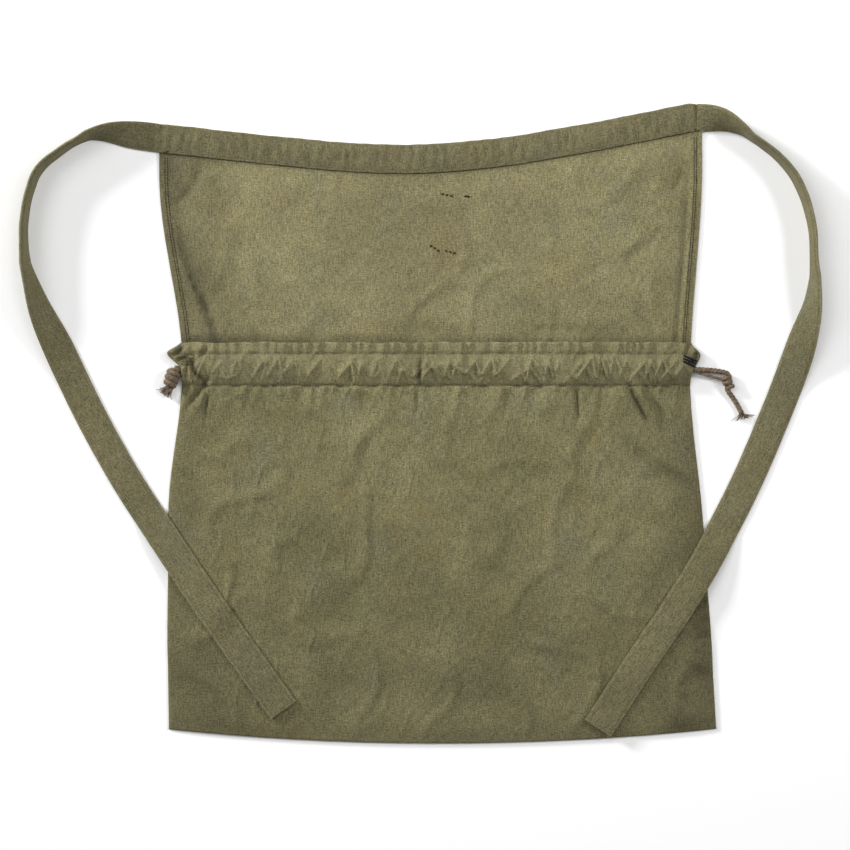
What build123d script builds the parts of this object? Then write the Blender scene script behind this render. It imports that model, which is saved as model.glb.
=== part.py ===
"""Waist apron with a drawstring pouch, lying flat on a table with its front up.

One cotton cloth is folded at the bottom: its back runs up to the waistband and its front is the pouch.
+X is to the right of the pouch as seen from the front, +Y points to the waistband and +Z is up.
The origin is on the underside of the back cloth, on the table, at the middle of the apron's body.
All sizes are in millimetres.
"""

from build123d import *
from math import cos, pi, radians, sin, tan
import os

# Cloth
LAYER = 0.9  # one layer of washed cotton drill as it lies
GAP = 0.4  # clearance between pieces that move past each other
ROW_WIDE = 0.7  # a row of sewing, as one flat thread
ROW_HIGH = 0.3

# Body of the apron, folded at the bottom and sewn up the sides
SIDE_LEFT = [(-250.7, -248.8), (-251.6, -190), (-251.6, -105), (-250, -25), (-240, 52), (-238.5, 100),
             (-249.5, 178), (-258, 284)]
SIDE_RIGHT = [(255.3, -248), (251.7, -181), (247.6, -122), (241, -33), (231, 75), (231.5, 100), (238, 190),
              (241, 302)]
FOLD_LOW = (0, -261.6)  # lowest point of the bottom fold, which is a shallow arc
FOLD_WIDE = 4.0
SEAM_WIDE = 9.0  # the seam allowance inside the pouch
SEAM_LOW = -244.0  # its lower end, just inside the fold
HEM_WIDE = 9.0  # the turned side hems above the pouch
HEM_ROWS = (5.2, 7.6)  # two close rows of sewing, this far inside the edge
HEM_FROM = 115.0  # the hems run from just above the pouch's header
HEM_TO = 264.0  # to just under the waistband

# Waistband
BAND_WIDE = 26.5
BAND_TUCK = 8.0  # how far the back cloth reaches into the band
BAND_LOW = [(-258, 284), (-119.6, 269.7), (-18.5, 265.3), (83, 275.4), (241, 305.7)]  # its lower edge
BARTACKS = [(-254.5, 281.1), (236, 301.3)]  # dense stitches at its two ends
BARTACK_SIZE = (6.0, 2.6, 0.5)

# Short stitches of dark thread left in the cloth: x, y, turn in degrees and length
REPAIRS = [(6.5, 244.7, -12, 8), (25, 243, -5, 3), (-5, 195.5, -32, 8), (9.5, 192, -12, 8)]
REPAIR_WIDE = 0.9
REPAIR_HIGH = 0.4

# Pouch: a free middle that lifts, and two margins that the side seams hold down
MOUTH_Y = 68.5  # lower edge of the drawstring channel
FREE_HALF_LOW = 120.0  # half width of the free middle at the fold
FREE_HALF_TOP = 185.0  # and at the mouth
POUCH_Z = 7.5  # underside of the front above the table
MARGIN_Z = 3.0  # underside of the front on the side seams
RISE_Y = -235.0  # where the front has risen from the fold to its full height
TOP_Y = MOUTH_Y + 0.9

# Drawstring channel and the header above it
CHANNEL_Y = 83.0
CHANNEL_WIDE = 28.5
CHANNEL_HIGH = 8.0
CHANNEL_Z = 9.6  # centre, on the free middle
CHANNEL_END_Z = 5.3  # centre, at the side seams
CHANNEL_LEFT = -236.0
CHANNEL_RIGHT = 238.0
HEADER_LOW = CHANNEL_Y + CHANNEL_WIDE / 2 + 0.2
HEADER_HIGH = 109.0
HEADER_THICK = 2 * LAYER
CORNER_LEFT = (252, 233)  # how far left the header's left corner and its shoulder reach
CORNER_RIGHT = (241, 236)
ROWS_OUT = 0.2  # rows of sewing stand this far off the cloth beside them
EYELET_LONG = 1.2
EYELET_HALF = 11.0  # half length of the slit inside its rim

# Drawstring, a soft cotton cord with a stop knot outside each end of the channel
CORD = 5.0
CORD_Y = 84.0
STRAND = 3.4  # the strand that returns from the right knot to its eyelet
STUB_LEFT = -202.0  # inner ends of the two cord ends, inside the channel
STUB_RIGHT = 212.0
RIGHT_ROUTE = [  # from inside the channel through the stop knot to the frayed tip
    (STUB_RIGHT, CORD_Y, CHANNEL_END_Z),
    (264, 84, CHANNEL_END_Z),
    (268.5, 73.5, 4.4),
    (263.5, 66, 3.4),
    (272.5, 55.5, 2.7),
    (278.5, 43.5, 2.6),
]
LEFT_END_X = -243.0  # where the left end goes into its knot
STRAND_ROUTE = [(243, 79, CHANNEL_END_Z), (259, 74.6, CHANNEL_END_Z)]
# Knots and tufts: centre, size (length, width, height) and turn in degrees
LEFT_KNOT = ((-246.5, 76, 5.4), (13, 22, 10.4), -12)
RIGHT_KNOT = ((264.5, 71.5, 4.6), (13, 16, 9), 38)
LEFT_TUFT = ((-250, 60.4, 0.4), (9, 10, 5), -16)
RIGHT_TUFT = ((279.6, 40.6, 0.3), (8, 10, 4.6), 207)
TUFT_SLOPE = 76  # angle of a tuft's sides, in degrees

# Waist ties: flat tubes of cloth, laid from the ends of the band round onto the pouch
TIE_WIDE = 28.6
TIE_THICK = 2 * LAYER
STATIONS = 34  # cross sections along a tie
STITCH_IN = 3.0  # rows of sewing run this far inside an edge
LEFT_TIE = dict(
    route=[(-267, 297.4), (-300, 300.8), (-340.4, 293.7), (-370, 270.5), (-384.3, 227.6), (-380.6, 177.6),
           (-350.6, 99.9), (-298.3, -3.7), (-247, -83.3), (-193.5, -161), (-144.3, -230.3)],
    outward=-1,  # the tie's outer edge is on the left of its way round
    stands=(4, 88, 178, 330),  # along it: starts to lean, stands full, starts to fall, lies flat again
    side=SIDE_LEFT,
)
RIGHT_TIE = dict(
    route=[(250, 316.4), (284.9, 300.2), (318.2, 274.3), (340.4, 233.1), (346.4, 183.2), (337.6, 122.1),
           (303.4, 25.9), (253.5, -78.6), (222, -131), (184.1, -186.9), (145.2, -247)],
    outward=1,
    stands=(6, 56, 160, 235),
    side=SIDE_RIGHT,
)
TIE_LEAN = 77.0  # the belly of each loop stands on its edge, this many degrees from flat
TIE_RISE = 0.2  # slope at which a tie climbs from the table onto the pouch
TIE_REACH = 22.0  # how far outside the pouch's edge it has finished climbing


def plate(outline, low, high):
    """A closed outline at height 0, made a solid from height low to height high."""
    return extrude(Pos(0, 0, low) * make_face(outline), amount=high - low)


def box_between(x, y, z):
    """A box from its lowest to its highest x, y and z."""
    return Pos(x[0], y[0], z[0]) * Box(x[1] - x[0], y[1] - y[0], z[1] - z[0], align=Align.MIN)


def shifted(points, dx=0.0, dy=0.0):
    return [(x + dx, y + dy) for x, y in points]


def fold_line(inset):
    """The bottom edge of the cloth, moved in by inset."""
    corners = (SIDE_LEFT[0], FOLD_LOW, SIDE_RIGHT[0])
    return ThreePointArc(*[(x * (1 - inset / 250), y + inset) for x, y in corners])


def body_outline(top, inset):
    """The back cloth's outline, from inset above the fold up to a curve through the points top."""
    bottom = fold_line(inset)
    left = Spline(*[bottom @ 0, *SIDE_LEFT[1:-1], top[0]])
    right = Spline(*[bottom @ 1, *SIDE_RIGHT[1:-1], top[-1]])
    return [bottom, right, Spline(*top), left]


def side_strip(side, low, high, width):
    """Outline of a strip that runs inside a side edge from y low to y high."""
    inward = -width if side is SIDE_RIGHT else width
    edge = Spline(*side)
    strip = make_face([edge, Line(edge @ 1, (edge @ 1) + (inward, 0)),
                       Spline(*shifted(side, dx=inward)), Line((side[0][0] + inward, side[0][1]), side[0])])
    return strip & Pos(0, (low + high) / 2) * Rectangle(900, high - low)


def tie_root(tie, grow, low, high):
    """The round root of a tie, grown all round by grow."""
    return Pos(*tie["route"][0], low) * extrude(Circle(TIE_WIDE / 2 + grow), amount=high - low)


def back_cloth():
    cloth = plate(body_outline(shifted(BAND_LOW, dy=BAND_TUCK), FOLD_WIDE + 0.1), 0, LAYER)
    for tie in (LEFT_TIE, RIGHT_TIE):
        cloth -= tie_root(tie, GAP, -1, 5)
    return cloth


def bottom_fold():
    outer, inner = fold_line(0), fold_line(FOLD_WIDE)
    return plate([outer, Line(outer @ 1, inner @ 1), inner, Line(inner @ 0, outer @ 0)], 0, MARGIN_Z + LAYER)


def waistband():
    """A strip folded along its top edge: the front leaf covers the cloth, the back leaf stops against it."""
    def strip(low, high, z0, z1):
        a, b = shifted(BAND_LOW, dy=low), shifted(BAND_LOW, dy=high)
        return plate([Spline(*a), Line(a[-1], b[-1]), Spline(*b), Line(b[0], a[0])], z0, z1)

    band = strip(0, BAND_WIDE, LAYER, 2 * LAYER) + strip(BAND_TUCK + 0.3, BAND_WIDE, 0, LAYER)
    for tie in (LEFT_TIE, RIGHT_TIE):
        band -= tie_root(tie, 2 * GAP, -1, 5)
    return band


def band_row(up):
    """A row of sewing along the band, that far above its lower edge."""
    low, high = shifted(BAND_LOW, dy=up), shifted(BAND_LOW, dy=up + ROW_WIDE)
    row = plate([Spline(*low), Line(low[-1], high[-1]), Spline(*high), Line(high[0], low[0])],
                2 * LAYER, 2 * LAYER + ROW_HIGH)
    return row & box_between((-252, 236), (200, 400), (0, 10))


def side_hem(side):
    return extrude(Pos(0, 0, LAYER) * side_strip(side, HEM_FROM, HEM_TO, HEM_WIDE), amount=LAYER)


def hem_rows(side):
    """Two close rows of sewing along a side hem."""
    sign = -1 if side is SIDE_RIGHT else 1
    rows = []
    for inset in HEM_ROWS:
        moved = shifted(side, dx=sign * inset)
        edge = Spline(*moved)
        row = make_face([edge, Line(edge @ 1, (edge @ 1) + (ROW_WIDE, 0)),
                         Spline(*shifted(moved, dx=ROW_WIDE)),
                         Line((moved[0][0] + ROW_WIDE, moved[0][1]), moved[0])])
        row = row & Pos(0, (HEM_FROM + HEM_TO) / 2) * Rectangle(900, HEM_TO - HEM_FROM - 2)
        rows.append(extrude(Pos(0, 0, 2 * LAYER) * row, amount=ROW_HIGH))
    return rows


def side_seam(side):
    strip = side_strip(side, SEAM_LOW, MOUTH_Y - 2, SEAM_WIDE)
    return extrude(Pos(0, 0, LAYER) * strip, amount=MARGIN_Z - LAYER)


def free_half(y):
    """Half width of the pouch's free middle at height y."""
    share = (y - FOLD_LOW[1]) / (MOUTH_Y - FOLD_LOW[1])
    return FREE_HALF_LOW + share * (FREE_HALF_TOP - FREE_HALF_LOW)


def clear_of_fold():
    """Everything above the fold's inner edge, so that the front can move there."""
    return plate(body_outline(shifted(BAND_LOW, dy=BAND_TUCK), FOLD_WIDE + 1), -5, 30)


def pouch_front():
    """The free middle of the front, which rises from the fold and lies level above the back."""
    low = FOLD_LOW[1] + FOLD_WIDE
    profile = [(low, MARGIN_Z), (RISE_Y, POUCH_Z), (TOP_Y, POUCH_Z),
               (TOP_Y, POUCH_Z + LAYER), (RISE_Y, POUCH_Z + LAYER), (low, MARGIN_Z + LAYER)]
    bent = extrude(Plane.YZ * make_face(Polyline(*profile, close=True)), amount=250, both=True)
    reach_low, reach_top = free_half(low) - GAP, free_half(TOP_Y) - GAP
    plan = Polyline((-reach_low, low), (reach_low, low), (reach_top, TOP_Y), (-reach_top, TOP_Y), close=True)
    return bent & plate(plan, -5, 30) & clear_of_fold()


def pouch_margin(side):
    """The part of the front beside a side seam, sloping from the seam up to the free middle."""
    sign = 1 if side is SIDE_RIGHT else -1
    edge = Spline(*side)
    rows = [(-246.5, MARGIN_Z + 1)]  # heights y of the cross sections, with the inner edge's z
    rows += [(y, POUCH_Z) for y in (RISE_Y, -190, -130, -80, -33, 10, 40, MOUTH_Y - 1)]
    sections = []
    for y, inner_z in rows:
        outer = edge.position_at(share_at(edge, y)).X
        seam, inner = outer - sign * SEAM_WIDE, sign * (free_half(y) + GAP)
        low = [(outer, MARGIN_Z), (seam, MARGIN_Z), (inner, inner_z)]
        high = [(x, z + LAYER) for x, z in reversed(low)]
        upright = Plane((0, y, 0), x_dir=(1, 0, 0), z_dir=(0, -1, 0))
        sections.append(upright * make_face(Polyline(*low, *high, close=True)))
    return loft(sections, ruled=True) & clear_of_fold()


def share_at(edge, y):
    """How far along a side edge it reaches height y, found by halving."""
    low, high = 0.0, 1.0
    for _ in range(40):
        middle = (low + high) / 2
        low, high = (middle, high) if edge.position_at(middle).Y < y else (low, middle)
    return low


def channel(left, right, z):
    """A flat tube of cloth that the drawstring runs in."""
    outer = Ellipse(CHANNEL_WIDE / 2, CHANNEL_HIGH / 2)
    inner = Ellipse(CHANNEL_WIDE / 2 - LAYER, CHANNEL_HIGH / 2 - LAYER)
    end = Plane((left, CHANNEL_Y, z), x_dir=(0, 1, 0), z_dir=(1, 0, 0))
    return extrude(end * (outer - inner), amount=right - left)


def channel_rows():
    """The two rows of sewing that close the channel, on the free middle."""
    reach = FREE_HALF_TOP - 1
    rows = []
    for y, z in ((HEADER_LOW + 0.6, CHANNEL_Z + HEADER_THICK / 2), (TOP_Y - 2, POUCH_Z + LAYER)):
        rows.append(box_between((-reach, reach), (y, y + ROW_WIDE), (z, z + ROW_HIGH)))
    return rows


def header_end(sign):
    """The gathered corner of the header beside a side seam, folded to a point."""
    inner, z = FREE_HALF_TOP + GAP, CHANNEL_END_Z - HEADER_THICK / 2
    tip, shoulder = CORNER_LEFT if sign < 0 else CORNER_RIGHT
    corners = ((inner, HEADER_LOW), (inner, HEADER_HIGH), (shoulder, HEADER_HIGH - 2), (tip, HEADER_LOW + 3),
               (tip - 3, HEADER_LOW))
    outline = Polyline(*[(sign * x, y) for x, y in corners], close=True)
    return plate(outline, z, z + HEADER_THICK)


def eyelet(x):
    """The rim of buttonhole thread round the drawstring's way out."""
    rim = Ellipse(CHANNEL_WIDE / 2, CHANNEL_HIGH / 2) - Ellipse(EYELET_HALF, CORD / 2 + GAP)
    end = Plane((x, CHANNEL_Y, CHANNEL_END_Z), x_dir=(0, 1, 0), z_dir=(1, 0, 0))
    return extrude(end * rim, amount=EYELET_LONG)


def rod(a, b, diameter):
    """A straight length of cord from point a to point b."""
    way = Vector(*b) - Vector(*a)
    return extrude(Plane(a, z_dir=way) * Circle(diameter / 2), amount=way.length)


def cord_tube(route, diameter):
    """Straight runs joined by tangent arcs, each as large as its two runs allow."""
    points = [Vector(*p) for p in route]
    radii = []
    for before, here, after in zip(points, points[1:], points[2:]):
        turn = radians((here - before).get_angle(after - here))
        shorter = min((here - before).length, (after - here).length)
        radii.append(0.45 * shorter / tan(turn / 2))
    path = FilletPolyline(*points, radius=radii)
    tube = sweep(Plane(path @ 0, z_dir=path % 0) * Circle(diameter / 2), path)
    area = pi * diameter ** 2 / 4
    print("cord radii", [round(r, 1) for r in radii], "length", round(path.length, 1),
          "volume share", round(tube.volume / (area * path.length), 3))
    return tube


def tilted_knot(centre, size, turn):
    """A tight knot, as a rounded body of that length, width and height, turned in the table's plane."""
    long, wide, high = size
    body = Box(long, wide, high)
    body = fillet(body.edges(), 0.3 * high)
    return Pos(*centre) * Rot(0, 0, turn) * body


def frayed_tip(centre, size, turn):
    """The untwisted end of the cord, as one flattened tuft."""
    long, wide, high = size
    tuft = extrude(Trapezoid(wide, long, TUFT_SLOPE), amount=high)
    return Pos(*centre) * Rot(0, 0, turn) * tuft


def smooth(x, a, b):
    """0 before a, 1 after b, and an even curve between them."""
    t = min(1.0, max(0.0, (x - a) / (b - a)))
    return t * t * (3 - 2 * t)


def front_top(tie, x, y):
    """Height of the pouch's front at a place on a tie's side of it, or 0 where the table is beneath."""
    sign = tie["outward"]
    side = Spline(*tie["side"])
    edge = side.position_at(share_at(side, y)).X
    inside = sign * (edge - x)
    if inside < -TIE_REACH or y > HEADER_HIGH:
        return 0.0
    slope_wide = sign * edge - SEAM_WIDE - free_half(y)
    share = min(1.0, max(0.0, (inside - SEAM_WIDE) / slope_wide))
    return MARGIN_Z + LAYER + share * (POUCH_Z - MARGIN_Z)


def tie_beds(tie, places, step):
    """Height of a tie's underside at each of its places: it climbs gently and clears the pouch by GAP."""
    beds = []
    for at, outward in places:
        tops = [front_top(tie, (at + outward * across).X, (at + outward * across).Y)
                for across in (-TIE_WIDE / 2, 0, TIE_WIDE / 2)]
        beds.append(max(tops) + 1.5 * GAP if max(tops) > 0 else 0.0)
    for i in reversed(range(len(beds) - 1)):
        beds[i] = max(beds[i], beds[i + 1] - TIE_RISE * step)
    return beds


def tie_stations(tie):
    """Places along a tie: (point on its centreline, direction, outward direction, lean in radians)."""
    path = Spline(*tie["route"])
    rise, full, fall, flat = tie["stands"]
    shares = [i / (STATIONS - 1) for i in range(STATIONS)]
    ways = [path % share for share in shares]
    outwards = [Vector(-way.Y, way.X, 0) * tie["outward"] for way in ways]
    points = [path @ share for share in shares]
    beds = tie_beds(tie, list(zip(points, outwards)), path.length / (STATIONS - 1))
    found = []
    for share, at, way, outward, bed in zip(shares, points, ways, outwards, beds):
        along = share * path.length
        lean = radians(TIE_LEAN) * (smooth(along, rise, full) - smooth(along, fall, flat))
        height = bed + TIE_WIDE / 2 * sin(lean) + TIE_THICK / 2 * cos(lean)
        found.append((Vector(at.X, at.Y, height), way, outward, lean))
    return found


def ribbon(stations, width, thickness, across=0.0, lift=0.0):
    """A flat strip through the stations, moved sideways on the tie by across and off its middle by lift."""
    sections = []
    for at, ahead, outward, lean in stations:
        side = outward * cos(lean) + Vector(0, 0, sin(lean))
        face = outward * -sin(lean) + Vector(0, 0, cos(lean))
        place = Plane(at + side * across + face * lift, x_dir=side, z_dir=ahead)
        sections.append(place * Rectangle(width, thickness))
    return loft(sections, ruled=True)


def waist_tie(tie):
    """A tie, with a round root that can turn in the end of the band."""
    return ribbon(tie_stations(tie), TIE_WIDE, TIE_THICK) + tie_root(tie, 0, 0, TIE_THICK)


def tie_rows(tie):
    """Rows of sewing inside both long edges of a tie."""
    stations = tie_stations(tie)[1:-1]
    lift = TIE_THICK / 2 + ROW_HIGH / 2 + ROWS_OUT / 4
    reach = TIE_WIDE / 2 - STITCH_IN
    return [ribbon(stations, ROW_WIDE, ROW_HIGH, across, lift) for across in (-reach, reach)]


def tie_end_row(tie):
    """The row of sewing across the end of a tie."""
    stations = tie_stations(tie)
    at, ahead, outward, _ = stations[-1]
    height = TIE_THICK / 2 + ROWS_OUT / 4
    place = Plane(at - ahead * STITCH_IN + Vector(0, 0, height), x_dir=outward, z_dir=(0, 0, 1))
    return extrude(place * Rectangle(TIE_WIDE - 2 * STITCH_IN - 2, ROW_WIDE), amount=ROW_HIGH)


def bartacks():
    """Short dense stitches where the band ends on the side hems."""
    standing = (Align.CENTER, Align.CENTER, Align.MIN)
    return [Pos(x, y, LAYER) * Box(*BARTACK_SIZE, align=standing) for x, y in BARTACKS]


def repair_stitches():
    """Four short stitches of dark thread left in the back cloth above the pouch."""
    return [Pos(x, y, LAYER + REPAIR_HIGH / 2) * Rot(0, 0, turn) * Box(long, REPAIR_WIDE, REPAIR_HIGH)
            for x, y, turn, long in REPAIRS]


def write(name, *solids):
    """One STEP file for a node."""
    shape = solids[0] if len(solids) == 1 else Compound(children=list(solids))
    export_step(shape, f"parts/{name}.step")


os.makedirs("parts", exist_ok=True)
reach = FREE_HALF_TOP - GAP / 2

write("back_cloth", back_cloth())
write("bottom_fold", bottom_fold())
write("waistband", waistband())
write("waistband_stitching", band_row(STITCH_IN - 1), band_row(BAND_WIDE - STITCH_IN))
write("waistband_bartacks", *bartacks())
write("repair_stitches", *repair_stitches())
for name, side, sign in (("left", SIDE_LEFT, -1), ("right", SIDE_RIGHT, 1)):
    write(f"side_hem_{name}", side_hem(side))
    write(f"side_hem_stitching_{name}", *hem_rows(side))
    write(f"side_seam_{name}", side_seam(side))
    write(f"pouch_margin_{name}", pouch_margin(side))
    write(f"header_corner_{name}", header_end(sign))
write("channel_end_left", channel(CHANNEL_LEFT, -reach - GAP, CHANNEL_END_Z))
write("channel_end_right", channel(reach + GAP, CHANNEL_RIGHT, CHANNEL_END_Z))
write("eyelet_left", eyelet(CHANNEL_LEFT - EYELET_LONG))
write("eyelet_right", eyelet(CHANNEL_RIGHT))

write("pouch_front", pouch_front())
write("channel", channel(-reach, reach, CHANNEL_Z))
write("mouth_header", box_between((-reach, reach), (HEADER_LOW, HEADER_HIGH),
                                  (CHANNEL_Z - HEADER_THICK / 2, CHANNEL_Z + HEADER_THICK / 2)))
write("channel_stitching", *channel_rows())
write("drawstring_run", rod((-reach + 0.5, CORD_Y, CHANNEL_Z), (reach - 0.5, CORD_Y, CHANNEL_Z), CORD))

left_end = rod((LEFT_END_X, CORD_Y, CHANNEL_END_Z), (STUB_LEFT, CORD_Y, CHANNEL_END_Z), CORD)
right_end = cord_tube(RIGHT_ROUTE, CORD)
strand = rod(*STRAND_ROUTE, STRAND) - right_end
write("drawstring_left_end", left_end)
write("left_stop_knot", tilted_knot(*LEFT_KNOT) - left_end)
write("left_frayed_tip", frayed_tip(*LEFT_TUFT))
write("drawstring_right_end", right_end)
write("right_return_strand", strand)
write("right_stop_knot", tilted_knot(*RIGHT_KNOT) - right_end - strand)
write("right_frayed_tip", frayed_tip(*RIGHT_TUFT) - right_end)

for name, tie in (("left", LEFT_TIE), ("right", RIGHT_TIE)):
    write(f"{name}_tie", waist_tie(tie))
    write(f"{name}_tie_stitching", *tie_rows(tie), tie_end_row(tie))
    print(name, "tie length", round(Spline(*tie["route"]).length, 1))
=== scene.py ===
# %% [markdown]
# # A waist apron with a drawstring pouch
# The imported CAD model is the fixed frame. Every piece made here lies where that frame says, in metres.
# +X is to the right of the pouch, +Y points to the waistband and +Z is up from the table.

# %% Load the frame
from math import cos, exp, pi, radians, sin
from random import Random

import bmesh
import bpy
from mathutils import Matrix, Vector, noise
from mathutils.bvhtree import BVHTree


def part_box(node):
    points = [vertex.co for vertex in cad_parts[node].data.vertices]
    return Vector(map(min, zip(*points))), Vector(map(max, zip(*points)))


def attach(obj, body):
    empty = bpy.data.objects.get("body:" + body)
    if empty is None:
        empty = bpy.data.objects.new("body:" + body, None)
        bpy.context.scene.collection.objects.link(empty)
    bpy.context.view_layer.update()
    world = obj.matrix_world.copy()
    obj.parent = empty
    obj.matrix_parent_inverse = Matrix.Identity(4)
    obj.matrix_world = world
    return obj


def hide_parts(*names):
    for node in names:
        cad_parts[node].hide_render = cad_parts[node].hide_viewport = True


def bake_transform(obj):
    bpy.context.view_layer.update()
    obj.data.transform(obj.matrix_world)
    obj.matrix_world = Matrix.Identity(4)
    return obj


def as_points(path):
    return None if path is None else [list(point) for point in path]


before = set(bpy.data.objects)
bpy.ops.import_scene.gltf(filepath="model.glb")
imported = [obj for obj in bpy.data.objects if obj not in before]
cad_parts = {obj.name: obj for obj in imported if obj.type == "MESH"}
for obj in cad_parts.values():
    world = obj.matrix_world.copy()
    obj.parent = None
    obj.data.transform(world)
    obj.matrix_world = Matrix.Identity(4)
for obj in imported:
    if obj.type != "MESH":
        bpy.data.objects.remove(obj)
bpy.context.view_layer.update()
MM = 0.001

# %% [markdown]
# ## Small helpers
# A cloth is a grid whose vertices are moved by a height function, so most of this lesson is about good
# height functions. `ease` is the smooth step that all of them share. Blender's own noise is seeded by its
# place, so the same place always gives the same wrinkle.

# %% Easing, noise and new objects
def ease(x, low, high):
    """0 below low, 1 above high and an even curve between them."""
    t = min(1.0, max(0.0, (x - low) / (high - low)))
    return t * t * (3 - 2 * t)


def ramp(x, points):
    """The value at x on straight lines through the points (x, value), and on beyond them."""
    n = 0
    while n < len(points) - 2 and x > points[n + 1][0]:
        n += 1
    (x0, v0), (x1, v1) = points[n], points[n + 1]
    return v0 + (v1 - v0) * (x - x0) / (x1 - x0)


def hills(x, y, size, seed=0.0):
    """Smooth noise from -1 to 1 with hills about that size, in the units of x and y."""
    return noise.noise(Vector((x / size, y / size, seed)))


def ridges(x, y, size, seed=0.0):
    """Noise from 0 to 1 with sharp crests, like the creases of washed cloth."""
    return 1 - abs(2 * noise.noise(Vector((x / size, y / size, seed))))


def piece(name, bm, material):
    """A bmesh made into an object at the origin, smooth shaded, with its material."""
    mesh = bpy.data.meshes.new(name)
    bm.to_mesh(mesh)
    bm.free()
    mesh.shade_smooth()
    made = bpy.data.objects.new(name, mesh)
    bpy.context.scene.collection.objects.link(made)
    made.data.materials.append(material)
    return made


# %% [markdown]
# ## Camera, light and table
# The apron lies flat and is seen from straight above, so the camera looks down with a long lens, which
# keeps the edges of the view free of perspective. A strong low lamp rakes over the cloth from the upper
# left and brings out its folds. A wide one at the left and a smaller one at the right fill the shadows, and
# a small weak one hangs over the band.

# %% Camera
VIEW_WIDE = 0.786
VIEW_CENTRE = (-0.0139, 0.0324)
CAMERA_HIGH = 2.6
SENSOR = 36.0

camera_data = bpy.data.cameras.new("camera")
camera_data.sensor_width = SENSOR
camera_data.lens = SENSOR * CAMERA_HIGH / VIEW_WIDE
camera = bpy.data.objects.new("camera", camera_data)
camera.location = (*VIEW_CENTRE, CAMERA_HIGH)
bpy.context.scene.collection.objects.link(camera)
bpy.context.scene.camera = camera
print("lens", round(camera_data.lens, 1), "mm")

# %% Lamps
def lamp(name, place, size, power, target=(0, 0, 0)):
    """A square area lamp of that side, aimed at the target."""
    data = bpy.data.lights.new(name, "AREA")
    data.size = size
    data.energy = power
    made = bpy.data.objects.new(name, data)
    made.location = place
    made.rotation_euler = (Vector(place) - Vector(target)).to_track_quat("Z", "Y").to_euler()
    bpy.context.scene.collection.objects.link(made)


lamp("lamp_low", (-3.9, 2.4, 1.65), 0.8, 225)
lamp("lamp_left", (-2.1, 1.0, 2.7), 1.7, 32)
lamp("lamp_right", (2.7, 0.9, 2.3), 0.8, 60)
lamp("lamp_top", (0.03, 0.38, 0.9), 0.5, 2.1, target=(0.03, 0.26, 0))
world = bpy.data.worlds.new("studio")
world.use_nodes = True
world.node_tree.nodes["Background"].inputs["Color"].default_value = (1, 1, 1, 1)
world.node_tree.nodes["Background"].inputs["Strength"].default_value = 0.2
bpy.context.scene.world = world
bpy.context.scene.view_settings.view_transform = "Standard"

# %% [markdown]
# ## Materials
# Each material is a small node graph on the Principled BSDF. Colours are written as the sRGB hex values
# that a colour picker shows, and one function turns them into the linear values that Blender mixes.

# %% Node helpers
def linear(code):
    """An sRGB hex colour such as 8f7f6b as linear red, green, blue and alpha."""
    values = [int(code[i:i + 2], 16) / 255 for i in (0, 2, 4)]
    return [v / 12.92 if v <= 0.04045 else ((v + 0.055) / 1.055) ** 2.4 for v in values] + [1.0]


def add(tree, kind, sets=None, links=None):
    """One node with its properties or socket values set, and its inputs linked from other sockets."""
    node = tree.nodes.new("ShaderNode" + kind)
    for key, value in (sets or {}).items():
        if isinstance(key, str) and hasattr(node, key):
            setattr(node, key, value)
        else:
            node.inputs[key].default_value = value
    for key, source in (links or {}).items():
        tree.links.new(source, node.inputs[key])
    return node


def new_material(name):
    """An empty material: its node tree, and the Principled shader joined to its output."""
    material = bpy.data.materials.new(name)
    material.use_nodes = True
    tree = material.node_tree
    tree.nodes.clear()
    shader = add(tree, "BsdfPrincipled")
    add(tree, "OutputMaterial", links={"Surface": shader.outputs[0]})
    return material, tree, shader
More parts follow.
